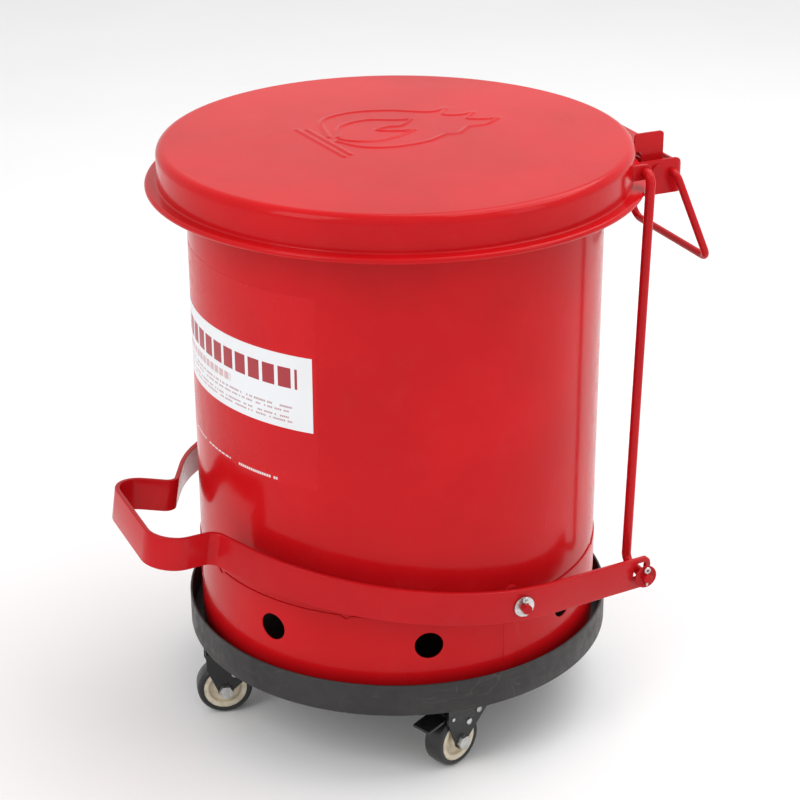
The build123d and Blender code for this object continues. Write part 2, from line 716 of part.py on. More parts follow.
for number in range(caster_count):
    save(plate(number), f"caster_plate_{number + 1}")
    save(fork(number), f"caster_fork_{number + 1}")
    save(tyre(number), f"tyre_{number + 1}")
    save(hub(number), f"wheel_hub_{number + 1}")
    save(axle(number), f"axle_bolt_{number + 1}")
    if number in brake_casters:
        save(brake_pin(number), f"brake_pin_{number + 1}")
        save(brake_lever(number), f"brake_lever_{number + 1}")

with BuildPart() as plate_bolts:
    for number in range(caster_count):
        with BuildSketch(Plane(origin=(*spot(number), plate_z))):
            with GridLocations(plate_bolt_spacing, plate_bolt_spacing, 2, 2):
                RegularPolygon(plate_bolt_radius, 6)
        extrude(amount=-plate_bolt_height)
save(plate_bolts, "plate_bolts")
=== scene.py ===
import json
import math

import bmesh
import bpy
import numpy as np
from mathutils import Matrix, Vector

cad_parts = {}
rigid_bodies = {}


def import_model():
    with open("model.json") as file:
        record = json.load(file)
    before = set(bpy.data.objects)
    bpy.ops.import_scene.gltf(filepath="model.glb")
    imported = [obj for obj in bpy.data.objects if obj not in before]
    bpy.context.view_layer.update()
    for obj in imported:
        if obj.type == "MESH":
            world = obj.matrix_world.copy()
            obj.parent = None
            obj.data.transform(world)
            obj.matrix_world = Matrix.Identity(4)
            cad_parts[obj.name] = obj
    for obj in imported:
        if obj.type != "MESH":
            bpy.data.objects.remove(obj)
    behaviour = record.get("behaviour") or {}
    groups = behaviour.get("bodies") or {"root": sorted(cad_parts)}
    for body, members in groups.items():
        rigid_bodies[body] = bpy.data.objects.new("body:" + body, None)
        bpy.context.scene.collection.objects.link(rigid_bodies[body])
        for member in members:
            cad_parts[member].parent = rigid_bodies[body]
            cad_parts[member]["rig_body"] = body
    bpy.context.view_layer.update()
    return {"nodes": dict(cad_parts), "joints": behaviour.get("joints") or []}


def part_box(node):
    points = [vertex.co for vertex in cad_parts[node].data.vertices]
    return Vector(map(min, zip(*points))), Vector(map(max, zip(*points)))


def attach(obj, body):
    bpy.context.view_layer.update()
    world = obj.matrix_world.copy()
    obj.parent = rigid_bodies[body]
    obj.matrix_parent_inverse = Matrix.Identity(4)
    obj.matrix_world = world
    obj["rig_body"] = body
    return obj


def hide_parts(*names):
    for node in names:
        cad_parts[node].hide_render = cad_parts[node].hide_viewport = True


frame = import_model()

nodes = frame["nodes"]
joints = {joint["name"]: joint for joint in frame["joints"]}
up = Vector((0, 0, 1))
along_x = Vector((1, 0, 0))

# ---------------------------------------------------------------- sizes, in metres, read from the frame
sheet = 0.0012
lid_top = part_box("lid_cover")[1].z
lid_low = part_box("lid_cover")[0].z
shell_low, shell_high = (corner.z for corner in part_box("can_shell"))
skirt_low, skirt_high = (corner.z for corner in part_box("base_skirt"))
ring_low, ring_high = (corner.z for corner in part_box("dolly_ring"))
label_low, label_high = (corner.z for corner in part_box("label_band"))
skirt_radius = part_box("base_skirt")[1].x
wall_radius = skirt_radius - sheet
rim_bead = 0.005
rim_radius = wall_radius - sheet + rim_bead
lid_radius = 0.231
flange_radius = 0.240
flange_bead = 0.003
lid_edge = 0.0085
ring_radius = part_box("dolly_ring")[1].x
ring_thickness = 0.0025
bracket_thickness = 0.0025
film_low, film_high = 0.311, 0.504
sharp_angle = 32.0                  # degrees: a face turn past this is left as an edge
same_spot = 1e-6                    # points nearer than this are one point
pedal_pivot = Vector(joints["pedal_pivot"]["pos_m"])
handle_pivot = Vector(joints["handle_swing"]["pos_m"])


# ---------------------------------------------------------------- shader nodes
def feed(tree, socket, value):
    """Gives a socket a value, or the output that drives it."""
    if isinstance(value, bpy.types.NodeSocket):
        tree.links.new(value, socket)
    else:
        socket.default_value = value


def add_node(tree, kind, sockets=None, **settings):
    """A shader node with its settings, and its sockets fed by name or number."""
    made = tree.nodes.new("ShaderNode" + kind)
    for name, value in settings.items():
        setattr(made, name, value)
    for key, value in (sockets or {}).items():
        feed(tree, made.inputs[key], value)
    return made


def new_material(name):
    """An empty material with its tree, its main shader and coordinates that stay with the piece."""
    made = bpy.data.materials.new(name)
    made.use_nodes = True
    tree = made.node_tree
    shader = tree.nodes["Principled BSDF"]
    place = add_node(tree, "TexCoord").outputs["Object"]
    return made, tree, shader, place


def noise(tree, place, scale, detail=2.0, rough=0.5):
    """A noise value, with features about 1/scale metres across."""
    sockets = {"Vector": place, "Scale": scale, "Detail": detail, "Roughness": rough}
    return add_node(tree, "TexNoise", sockets).outputs[0]


def maths(tree, operation, first, second=0.0, third=0.0):
    """One arithmetic step."""
    return add_node(tree, "Math", {0: first, 1: second, 2: third}, operation=operation).outputs[0]


def spread(tree, value, low, high, to_low=0.0, to_high=1.0):
    """A value carried smoothly from one span to another and held at its ends."""
    sockets = {"Value": value, "From Min": low, "From Max": high, "To Min": to_low, "To Max": to_high}
    return add_node(tree, "MapRange", sockets, interpolation_type="SMOOTHSTEP").outputs["Result"]


def mixed(tree, share, first, second):
    """Two colours mixed by a share from 0 to 1."""
    made = add_node(tree, "Mix", data_type="RGBA")
    feed(tree, made.inputs["Factor"], share)
    feed(tree, made.inputs["A"], first)
    feed(tree, made.inputs["B"], second)
    return made.outputs["Result"]


def bumps(tree, shader, *layers):
    """Stacks bump layers, each a height value, a depth in metres and a strength, and feeds the shader."""
    normal = None
    for height, depth, strength in layers:
        sockets = {"Height": height, "Distance": depth, "Strength": strength}
        if normal:
            sockets["Normal"] = normal
        normal = add_node(tree, "Bump", sockets).outputs["Normal"]
    feed(tree, shader.inputs["Normal"], normal)
    return normal


def scratches(tree, place, scale, thin=0.012):
    """A sparse web of hairline marks, 1 on a mark and 0 elsewhere."""
    bend = add_node(tree, "TexNoise", {"Vector": place, "Scale": scale / 3, "Detail": 1.0}).outputs["Color"]
    bent = add_node(tree, "VectorMath", {0: place, 1: bend, 2: (0.02, 0.02, 0.02)},
                    operation="MULTIPLY_ADD").outputs["Vector"]
    cells = add_node(tree, "TexVoronoi", {"Vector": bent, "Scale": scale}, feature="DISTANCE_TO_EDGE")
    line = spread(tree, cells.outputs["Distance"], 0.0, thin, 1.0, 0.0)
    sparse = spread(tree, noise(tree, place, scale * 0.8, 3.0), 0.56, 0.66)
    return maths(tree, "MULTIPLY", line, sparse)


# ---------------------------------------------------------------- finishes
def lacquered(shader):
    """A weak sheen under a thin clear coat, as baked enamel has."""
    shader.inputs["Specular IOR Level"].default_value = 0.09
    shader.inputs["Coat Weight"].default_value = 0.11
    shader.inputs["Coat Roughness"].default_value = 0.05


def enamel(name, colour, peel=0.08, ripple=0.12, wear=0.0):
    """Baked gloss enamel on sheet steel: drifting tone, faint orange peel, dust and hairline marks."""
    made, tree, shader, place = new_material(name)
    drift = spread(tree, noise(tree, place, 7.0, 3.0), 0.3, 0.7)
    deep = tuple(0.86 * part for part in colour[:3]) + (1.0,)
    tone = mixed(tree, drift, deep, colour)
    dust = spread(tree, noise(tree, place, 35.0, 6.0, 0.65), 0.48, 0.80)
    tone = mixed(tree, maths(tree, "MULTIPLY", dust, 0.010), tone, (0.55, 0.40, 0.36, 1.0))
    marks = scratches(tree, place, 22.0)
    tone = mixed(tree, maths(tree, "MULTIPLY", marks, 0.03), tone, (0.62, 0.20, 0.18, 1.0))
    gloss = spread(tree, noise(tree, place, 60.0, 5.0, 0.6), 0.35, 0.75, 0.16, 0.26)
    if wear:
        edge = add_node(tree, "NewGeometry").outputs["Pointiness"]
        chip = maths(tree, "MULTIPLY", spread(tree, edge, 0.56, 0.62),
                     spread(tree, noise(tree, place, 260.0, 4.0), 0.56, 0.62))
        tone = mixed(tree, maths(tree, "MULTIPLY", chip, wear), tone, (0.12, 0.035, 0.03, 1.0))
        gloss = maths(tree, "MULTIPLY_ADD", chip, 0.3, gloss)
    feed(tree, shader.inputs["Base Color"], tone)
    feed(tree, shader.inputs["Roughness"], maths(tree, "MULTIPLY_ADD", marks, 0.05, gloss))
    lacquered(shader)
    normal = bumps(tree, shader, (noise(tree, place, 9.0, 1.0), 0.004, ripple),
                   (noise(tree, place, 650.0, 1.0), 0.0003, peel))
    feed(tree, shader.inputs["Coat Normal"], normal)
    return made


def satin_black(name, colour, gloss, peel, scuff):
    """Black stoving paint: pebbled skin, dusty streaks, and pale scuffs where things rub."""
    made, tree, shader, place = new_material(name)
    drift = spread(tree, noise(tree, place, 12.0, 4.0), 0.3, 0.7)
    faded = tuple(1.9 * part for part in colour[:3]) + (1.0,)
    tone = mixed(tree, drift, colour, faded)
    streaks = add_node(tree, "Mapping", {"Vector": place, "Scale": (1.0, 1.0, 9.0)}).outputs[0]
    dust = spread(tree, noise(tree, streaks, 26.0, 7.0, 0.7), 0.52, 0.82)
    tone = mixed(tree, maths(tree, "MULTIPLY", dust, 0.22), tone, (0.16, 0.14, 0.12, 1.0))
    marks = scratches(tree, place, 38.0, 0.03)
    tone = mixed(tree, maths(tree, "MULTIPLY", marks, scuff), tone, (0.20, 0.18, 0.16, 1.0))
    feed(tree, shader.inputs["Base Color"], tone)
    feed(tree, shader.inputs["Roughness"],
         spread(tree, noise(tree, place, 90.0, 5.0), 0.3, 0.7, gloss, gloss + 0.16))
    shader.inputs["Specular IOR Level"].default_value = 0.45
    bumps(tree, shader, (noise(tree, place, 480.0, 2.0), 0.0005, peel), (marks, -0.0003, 0.3))
    return made


def plated(name, colour):
    """Zinc plate: fine pitting, cloudy grains and a dull bloom."""
    made, tree, shader, place = new_material(name)
    grains = add_node(tree, "TexVoronoi", {"Vector": place, "Scale": 420.0}).outputs["Distance"]
    cloud = noise(tree, place, 120.0, 4.0, 0.6)
    dull = tuple(0.62 * part for part in colour[:3]) + (1.0,)
    tone = mixed(tree, spread(tree, cloud, 0.3, 0.7), dull, colour)
    feed(tree, shader.inputs["Base Color"], tone)
    feed(tree, shader.inputs["Roughness"], spread(tree, grains, 0.1, 0.8, 0.24, 0.42))
    shader.inputs["Metallic"].default_value = 0.9
    bumps(tree, shader, (grains, 0.0001, 0.25), (noise(tree, place, 900.0, 2.0), 0.0001, 0.2))
    return made


def tread_rubber(name):
    """Hard black tyre rubber with moulding haze and floor dust."""
    made, tree, shader, place = new_material(name)
    dust = spread(tree, noise(tree, place, 80.0, 6.0, 0.7), 0.45, 0.80)
    tone = mixed(tree, maths(tree, "MULTIPLY", dust, 0.30),
                 (0.013, 0.013, 0.014, 1.0), (0.10, 0.095, 0.09, 1.0))
    feed(tree, shader.inputs["Base Color"], tone)
    feed(tree, shader.inputs["Roughness"], spread(tree, dust, 0.0, 1.0, 0.36, 0.68))
    bumps(tree, shader, (noise(tree, place, 700.0, 3.0), 0.0004, 0.25))
    return made


def moulded_cream(name):
    """Cream moulded plastic, a little grubby, with the moulding's own flow lines."""
    made, tree, shader, place = new_material(name)
    grime = spread(tree, noise(tree, place, 95.0, 6.0, 0.7), 0.42, 0.78)
    tone = mixed(tree, maths(tree, "MULTIPLY", grime, 0.55),
                 (0.68, 0.60, 0.46, 1.0), (0.24, 0.19, 0.13, 1.0))
    feed(tree, shader.inputs["Base Color"], tone)
    feed(tree, shader.inputs["Roughness"], spread(tree, grime, 0.0, 1.0, 0.34, 0.6))
    shader.inputs["Subsurface Weight"].default_value = 0.08
    shader.inputs["Subsurface Scale"].default_value = 0.002
    bumps(tree, shader, (noise(tree, place, 380.0, 3.0), 0.0003, 0.2))
    return made


def block_row(tree, across_label, up_label, height, half_height, cells, filled, span):
    """A generic printed row: blocks of a cell each, some left out. 1 on the ink."""
    middle, half = (span[0] + span[1]) / 2, (span[1] - span[0]) / 2
    in_row = maths(tree, "COMPARE", up_label, height, half_height)
    in_span = maths(tree, "COMPARE", across_label, middle, half)
    step = maths(tree, "MULTIPLY", across_label, cells)
    gap = maths(tree, "LESS_THAN", maths(tree, "FRACT", step), 0.78)
    seed = maths(tree, "ADD", maths(tree, "FLOOR", step), height * 1000)
    chance = add_node(tree, "TexWhiteNoise", {"W": seed}, noise_dimensions="1D").outputs["Value"]
    kept = maths(tree, "LESS_THAN", chance, filled)
    in_place = maths(tree, "MULTIPLY", in_row, in_span)
    return maths(tree, "MULTIPLY", in_place, maths(tree, "MULTIPLY", gap, kept))


def printed_vinyl(name):
    """White vinyl band with a generic print: one row of heavy blocks over rows of small ones."""
    made, tree, shader, place = new_material(name)
    flat = add_node(tree, "SeparateXYZ", {0: add_node(tree, "TexCoord").outputs["UV"]})
    u, v = flat.outputs[0], flat.outputs[1]
    heading = block_row(tree, u, v, 0.69, 0.135, 17.0, 0.86, (0.06, 0.95))
    second = block_row(tree, u, v, 0.43, 0.05, 34.0, 0.9, (0.30, 0.68))
    small = block_row(tree, u, v, 0.295, 0.014, 150.0, 0.74, (0.08, 0.93))
    for height in (0.235, 0.155, 0.10):
        row = block_row(tree, u, v, height, 0.012, 150.0, 0.70, (0.08, 0.93))
        small = maths(tree, "MAXIMUM", small, row)
    yellowing = spread(tree, noise(tree, place, 9.0, 3.0), 0.3, 0.8)
    tone = mixed(tree, yellowing, (0.78, 0.80, 0.83, 1.0), (0.74, 0.74, 0.74, 1.0))
    tone = mixed(tree, maths(tree, "MULTIPLY", small, 0.75), tone, (0.36, 0.10, 0.11, 1.0))
    tone = mixed(tree, maths(tree, "MULTIPLY", second, 0.6), tone, (0.50, 0.16, 0.16, 1.0))
    tone = mixed(tree, heading, tone, (0.36, 0.018, 0.028, 1.0))
    feed(tree, shader.inputs["Base Color"], tone)
    feed(tree, shader.inputs["Roughness"], spread(tree, noise(tree, place, 50.0, 4.0), 0.3, 0.7, 0.30, 0.42))
    bumps(tree, shader, (noise(tree, place, 12.0, 1.0), 0.002, 0.3),
          (noise(tree, place, 300.0, 2.0), 0.0002, 0.12))
    return made


def film(name, colour):
    """Clear-coated sheet laid over the enamel, with a fine printed line and dashes along its foot."""
    made, tree, shader, place = new_material(name)
    flat = add_node(tree, "SeparateXYZ", {0: add_node(tree, "TexCoord").outputs["UV"]})
    u, v = flat.outputs[0], flat.outputs[1]
    line = block_row(tree, u, v, 0.020, 0.0045, 46.0, 0.85, (0.38, 0.66))
    dashes = block_row(tree, u, v, 0.016, 0.007, 110.0, 0.86, (0.70, 0.86))
    drift = spread(tree, noise(tree, place, 8.0, 3.0), 0.3, 0.7)
    tone = mixed(tree, drift, tuple(0.9 * part for part in colour[:3]) + (1.0,), colour)
    tone = mixed(tree, maths(tree, "MAXIMUM", line, dashes), tone, (0.72, 0.68, 0.68, 1.0))
    feed(tree, shader.inputs["Base Color"], tone)
    feed(tree, shader.inputs["Roughness"], spread(tree, noise(tree, place, 70.0, 4.0), 0.3, 0.7, 0.20, 0.30))
    lacquered(shader)
    bumps(tree, shader, (noise(tree, place, 10.0, 1.0), 0.003, 0.15),
          (noise(tree, place, 420.0, 1.0), 0.0002, 0.1))
    return made


def floor_paper(name):
    """Pale seamless paper with a barely visible tooth."""
    made, tree, shader, place = new_material(name)
    tone = mixed(tree, noise(tree, place, 3.0, 3.0), (0.86, 0.86, 0.86, 1.0), (0.90, 0.90, 0.90, 1.0))
    feed(tree, shader.inputs["Base Color"], tone)
    shader.inputs["Roughness"].default_value = 0.95
    shader.inputs["Specular IOR Level"].default_value = 0.1
    return made


red = (0.56, 0.006, 0.009, 1.0)
red_enamel = enamel("red_enamel", red)
red_fittings = enamel("red_fittings", (0.52, 0.008, 0.012, 1.0), peel=0.22, ripple=0.06, wear=0.5)
red_hardware = enamel("red_hardware", (0.46, 0.008, 0.012, 1.0), peel=0.30, ripple=0.03, wear=0.8)
black_ring = satin_black("black_ring", (0.012, 0.011, 0.011, 1.0), 0.40, 0.35, 0.12)
black_fork = satin_black("black_fork", (0.006, 0.006, 0.007, 1.0), 0.24, 0.25, 0.10)
zinc = plated("zinc", (0.66, 0.66, 0.64, 1.0))
rubber = tread_rubber("tyre_rubber")
cream = moulded_cream("wheel_cream")
vinyl = printed_vinyl("label_vinyl")
clear_film = film("label_film", (0.58, 0.009, 0.013, 1.0))


# ---------------------------------------------------------------- meshes
def piece(name, mesh, finish, body, slot, *stands_for):
    """A finished mesh in the scene: it rides on a body and stands for CAD nodes."""
    mesh.materials.clear()
    mesh.materials.append(finish)
    made = bpy.data.objects.new(name, mesh)
    bpy.context.scene.collection.objects.link(made)
    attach(made, body)
    if stands_for:
        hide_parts(*stands_for)
    return made


def surface(name, points, wrap_rows=False, wrap_columns=False, caps=False, sharp=sharp_angle):
    """A smooth mesh over a grid of points, rows by columns, closed where asked."""
    rows, columns = points.shape[:2]
    mesh = bpy.data.meshes.new(name)
    across = columns if wrap_columns else columns - 1
    down = rows if wrap_rows else rows - 1
    faces = [(r * columns + c, r * columns + (c + 1) % columns,
              (r + 1) % rows * columns + (c + 1) % columns, (r + 1) % rows * columns + c)
             for r in range(down) for c in range(across)]
    if caps:
        faces.append(tuple(reversed(range(columns))))
        faces.append(tuple((rows - 1) * columns + c for c in range(columns)))
    mesh.from_pydata(points.reshape(-1, 3).tolist(), [], faces)
    tidy(mesh, sharp)
    return mesh


def tidy(mesh, sharp):
    """Merges doubled points, turns the faces outward and shades smoothly between sharp edges."""
    work = bmesh.new()
    work.from_mesh(mesh)
    bmesh.ops.remove_doubles(work, verts=work.verts, dist=same_spot)
    bmesh.ops.recalc_face_normals(work, faces=work.faces)
    work.to_mesh(mesh)
    work.free()
    mesh.shade_smooth()
    mesh.set_sharp_from_angle(angle=math.radians(sharp))


def rounded(corners, radius, steps=8, closed=False):
    """A path's corners, each turned into an arc. radius is one number, or one for each corner."""
    corners = [Vector(corner) for corner in corners]
    count = len(corners)
    radii = [radius] * count if isinstance(radius, (int, float)) else list(radius)
    path = []
    for index, corner in enumerate(corners):
        if not closed and index in (0, count - 1):
            path.append(corner)
            continue
        back = (corners[index - 1] - corner).normalized()
        ahead = (corners[(index + 1) % count] - corner).normalized()
        opening = back.angle(ahead)
        if radii[index] == 0 or opening > math.pi - 1e-4:
            path.append(corner)
            continue
        centre = corner + (back + ahead).normalized() * (radii[index] / math.sin(opening / 2))
        start = corner + back * (radii[index] / math.tan(opening / 2)) - centre
        end = corner + ahead * (radii[index] / math.tan(opening / 2)) - centre
        path += [centre + start.normalized().slerp(end.normalized(), step / steps) * radii[index]
                 for step in range(steps + 1)]
    return path


def ring(radius, centre=(0.0, 0.0), count=16, start=0.0, sweep=360.0):
    """Points along a circle or an arc, in two axes; a whole circle isn't closed."""
    whole = abs(sweep) == 360.0
    angles = [math.radians(start + sweep * step / count) for step in range(count if whole else count + 1)]
    return [(centre[0] + radius * math.cos(angle), centre[1] + radius * math.sin(angle)) for angle in angles]


def turned(name, profile, segments=192, closed=True, place=None, sharp=sharp_angle):
    """A profile of radius and height turned about Z, then moved to its place."""
    turns = np.arange(segments) * 2 * math.pi / segments
    radius, height = np.array([point[:2] for point in profile]).T
    points = np.stack([np.outer(np.cos(turns), radius), np.outer(np.sin(turns), radius),
                       np.tile(height, (segments, 1))], axis=-1)
    mesh = surface(name, points, wrap_rows=True, wrap_columns=closed, sharp=sharp)
    if place:
        mesh.transform(place)
    return mesh


def aligned(spot, axis):
    """The move that takes +Z to an axis, through a spot."""
    return Matrix.Translation(spot) @ Vector(axis).to_track_quat("Z", "Y").to_matrix().to_4x4()


def swept(name, path, outline, normal, ease=0.0006, sharp=sharp_angle):
    """A section carried along a flat path: outline's axes are sideways and along the path's normal."""
    normal = Vector(normal).normalized()
    path = [Vector(point) for point in path]
    tangents = [(after - before).normalized() for before, after in zip(path[:1] + path, path[1:] + path[-1:])]
    reach = max(math.hypot(*point) for point in outline)
    shrunk = 1 - ease / reach
    stations = [(path[0], tangents[0], shrunk), (path[0] + tangents[0] * ease, tangents[0], 1.0)]
    stations += [(spot, tangent, 1.0) for spot, tangent in zip(path[1:-1], tangents[1:-1])]
    stations += [(path[-1] - tangents[-1] * ease, tangents[-1], 1.0), (path[-1], tangents[-1], shrunk)]
    points = [[spot + normal.cross(tangent) * (a * size) + normal * (b * size) for a, b in outline]
              for spot, tangent, size in stations]
    return surface(name, np.array(points), wrap_columns=True, caps=True, sharp=sharp)


def bar_outline(width, height, edge, steps=3):
    """A flat bar's section with rounded edges."""
    corners = [(-width / 2, -height / 2, 0), (width / 2, -height / 2, 0),
               (width / 2, height / 2, 0), (-width / 2, height / 2, 0)]
    return [(point.x, point.y) for point in rounded(corners, edge, steps, closed=True)]


def patch(name, radius, thickness, low, high, half_angle, middle=-90.0, columns=96):
    """A curved sheet on the can's wall, with its sides laid out from 0 to 1 for its print."""
    angles = np.radians(np.linspace(middle - half_angle, middle + half_angle, columns + 1))
    heights = np.linspace(low, high, 9)
    points = [[(r * math.cos(a), r * math.sin(a), z) for a in angles]
              for r, z in [(radius, low)] + [(radius + thickness, z) for z in heights] + [(radius, high)]]
    mesh = surface(name, np.array(points))
    layout = mesh.uv_layers.new(name="print")
    for loop in mesh.loops:
        spot = mesh.vertices[loop.vertex_index].co
        turn = math.degrees(math.atan2(spot.y, spot.x))
        layout.data[loop.index].uv = ((turn - middle + half_angle) / (2 * half_angle),
                                      (spot.z - low) / (high - low))
    return mesh


def eased(node, finish, slot, width):
    """A CAD node's shape with its sharp edges broken by a small rounded bevel."""
    mesh = nodes[node].data.copy()
    work = bmesh.new()
    work.from_mesh(mesh)
    bmesh.ops.remove_doubles(work, verts=work.verts, dist=same_spot)
    bmesh.ops.dissolve_limit(work, angle_limit=math.radians(0.8), verts=work.verts, edges=work.edges)
    work.to_mesh(mesh)
    work.free()
    mesh.shade_smooth()
    made = piece(node + "_formed", mesh, finish, nodes[node]["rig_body"], slot, node)
    bevel = made.modifiers.new("eased", "BEVEL")
    bevel.width = width
    bevel.segments = 2
    bevel.limit_method = "ANGLE"
    bevel.angle_limit = math.radians(sharp_angle)
    bevel.harden_normals = True
    made.modifiers.new("even", "WEIGHTED_NORMAL").keep_sharp = True
    return made


def cut(made, cutter_mesh):
    """Takes a closed mesh's shape out of a piece."""
    tool = bpy.data.objects.new("cutter", cutter_mesh)
    bpy.context.scene.collection.objects.link(tool)
    step = made.modifiers.new("cut", "BOOLEAN")
    step.object = tool
    step.solver = "EXACT"
    changed = bpy.data.meshes.new_from_object(made.evaluated_get(bpy.context.evaluated_depsgraph_get()))
    made.modifiers.clear()
    changed.name = made.data.name
    made.data = changed
    bpy.data.objects.remove(tool)
    made.data.set_sharp_from_angle(angle=math.radians(sharp_angle))


# ---------------------------------------------------------------- can
def can_wall():
    """The can's wall with its rolled top edge, one closed sheet turned about the axis."""
    outer, inner = wall_radius, wall_radius - sheet
    bead_z = shell_high - rim_bead
    meet = math.degrees(math.asin((rim_radius - outer) / rim_bead))
    profile = [(inner, shell_low), (outer, shell_low)]
    profile += [(outer, z) for z in np.linspace(shell_low + 0.004, bead_z - 0.008, 24)]
    profile += ring(rim_bead, (rim_radius, bead_z), 22, 270.0 - meet, 270.0)
    profile += [(inner, z) for z in np.linspace(bead_z - 0.008, shell_low + 0.004, 12)]
    mesh = turned("can_wall", profile, 256)
    return piece("can_wall", mesh, red_enamel, "can", "red_enamel", "can_shell")


def wall_seam():
    """The wall's welded lap down the back, under the hinge bracket."""
    half, rise, sunk, clear = 0.006, 0.0006, 0.0002, 0.001
    outline = [(-half, -sunk), (-half * 0.8, rise - sunk), (half * 0.8, rise - sunk), (half, -sunk)]
    heights = np.linspace(skirt_high + clear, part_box("hinge_bracket")[0].z - clear, 12)
    points = [[((wall_radius + out) * math.cos(math.pi / 2 + x / wall_radius),
                (wall_radius + out) * math.sin(math.pi / 2 + x / wall_radius), z)
               for x, out in outline] for z in heights]
    piece("wall_seam", surface("wall_seam", np.array(points)), red_enamel, "can", "red_enamel")


def base_skirt(vent_count=8, first_vent=-15.5, vent_radius=0.014, vent_height=0.150, seam_turn=8.0):
    """The vented skirt: each vent is a ring of faces that opens out to its own share of the wall."""
    share = math.radians(360 / vent_count)
    radius = skirt_radius
    low, high = skirt_low + 0.004, skirt_high
    rings, around = 14, 96
    made = bmesh.new()
    for vent in range(vent_count):
        middle = math.radians(first_vent) + vent * share
        layers = []
        for ring_number in range(rings + 1):
            blend = (ring_number / rings) ** 1.4
            layer = []
            for step in range(around):
                angle = 2 * math.pi * step / around
                way = Vector((math.cos(angle), math.sin(angle)))
                side = share / 2 * radius
                limit_x = side / abs(way.x) if abs(way.x) > 1e-9 else 1e9
                room = (high - vent_height) if way.y > 0 else (vent_height - low)
                limit_y = room / abs(way.y) if abs(way.y) > 1e-9 else 1e9
                reach = min(limit_x, limit_y)
                spot = way * (vent_radius + (reach - vent_radius) * blend)
                turn = middle + spot.x / radius
                height = vent_height + spot.y
                layer.append(made.verts.new((radius * math.cos(turn), radius * math.sin(turn), height)))
            layers.append(layer)
        for inner, outer in zip(layers, layers[1:]):
            for step in range(around):
                after = (step + 1) % around
                made.faces.new((inner[step], inner[after], outer[after], outer[step]))
    mesh = bpy.data.meshes.new("base_skirt_vented")
    bmesh.ops.remove_doubles(made, verts=made.verts, dist=2e-5)
    made.to_mesh(mesh)
    made.free()
    tidy(mesh, 60.0)
    skirt = piece("base_skirt_vented", mesh, red_enamel, "can", "red_enamel", "base_skirt")
    wall = skirt.modifiers.new("sheet", "SOLIDIFY")
    wall.thickness = sheet
    wall.offset = -1.0
    edge = skirt.modifiers.new("eased", "BEVEL")
    edge.width = 0.0004
    edge.segments = 2
    edge.limit_method = "ANGLE"
    edge.angle_limit = math.radians(50)
    foot = rounded([(radius - 0.010, skirt_low, 0), (radius, skirt_low, 0), (radius, low + 0.001, 0),
                    (radius - sheet, low + 0.001, 0), (radius - sheet, skirt_low + sheet, 0),
                    (radius - 0.010, skirt_low + sheet, 0)], (0.0002, 0.0025, 0.0002, 0.0002, 0.0013, 0.0002),
                   5, closed=True)
    piece("base_skirt_foot", turned("base_skirt_foot", foot, 256), red_enamel, "can", "red_enamel")
    lap = [(radius - 0.0003, -0.007), (radius + 0.0007, -0.0062),
           (radius + 0.0007, 0.0068), (radius - 0.0003, 0.0072)]
    lap = [(r, math.radians(seam_turn) + x / radius) for r, x in lap]
    points = [[(r * math.cos(turn), r * math.sin(turn), z) for r, turn in lap]
              for z in np.linspace(low, skirt_high - 0.0005, 8)]
    piece("base_skirt_seam", surface("base_skirt_seam", np.array(points)), red_enamel, "can", "red_enamel")


can_wall()
wall_seam()
base_skirt()
piece("label_film", patch("label_film", wall_radius, 0.00012, film_low, film_high, 45.0),
      clear_film, "can", "label")
piece("label_print", patch("label_print", wall_radius + 0.0001, 0.0002, label_low, label_high, 43.8),
      vinyl, "can", "label", "label_band")
nodes["can_bottom"].data.materials.clear()
nodes["can_bottom"].data.materials.append(red_enamel)


# ---------------------------------------------------------------- lid
def emblem_height(x, y):
    """A raised generic flame of plain curved strokes above a straight bar, as a height at each point."""
    strokes = [
        [(-0.064, -0.077), (0.035, -0.068)],
        [(-0.060, -0.068), (0.031, -0.060)],
        [(-0.028, -0.058), (-0.080, -0.044), (-0.096, -0.010),
         (-0.088, 0.030), (-0.066, 0.066), (-0.072, 0.088)],
        [(-0.072, 0.088), (-0.052, 0.076), (-0.044, 0.088), (-0.046, 0.106)],
        [(-0.046, 0.106), (-0.030, 0.092), (-0.022, 0.102), (-0.018, 0.120)],
        [(-0.018, 0.120), (-0.004, 0.100), (-0.004, 0.082), (-0.002, 0.078)],
        [(-0.002, 0.078), (0.012, 0.062), (0.010, 0.050), (0.012, 0.046)],
        [(0.012, 0.046), (0.024, 0.022), (0.026, -0.014), (0.014, -0.040), (-0.012, -0.056)],
        [(-0.024, -0.050), (-0.056, -0.034), (-0.066, -0.004), (-0.054, 0.024), (-0.050, 0.040)],
        [(-0.050, 0.040), (-0.034, 0.022), (-0.036, 0.008), (-0.030, -0.006), (-0.020, 0.010), (-0.016, 0.028)],
        [(-0.016, 0.028), (-0.004, 0.006), (0.002, -0.020), (-0.006, -0.040), (-0.018, -0.050)],
    ]
    nearest = np.full(x.shape, 1.0)
    for stroke in strokes:
        for a, b in zip(smooth_run(stroke), smooth_run(stroke)[1:]):
            along = np.clip(((x - a[0]) * (b[0] - a[0]) + (y - a[1]) * (b[1] - a[1]))
                            / max((b[0] - a[0]) ** 2 + (b[1] - a[1]) ** 2, 1e-12), 0, 1)
            away = np.hypot(x - a[0] - along * (b[0] - a[0]), y - a[1] - along * (b[1] - a[1]))
            nearest = np.minimum(nearest, away)
    return 0.0012 * np.exp(-(nearest / 0.0019) ** 2)


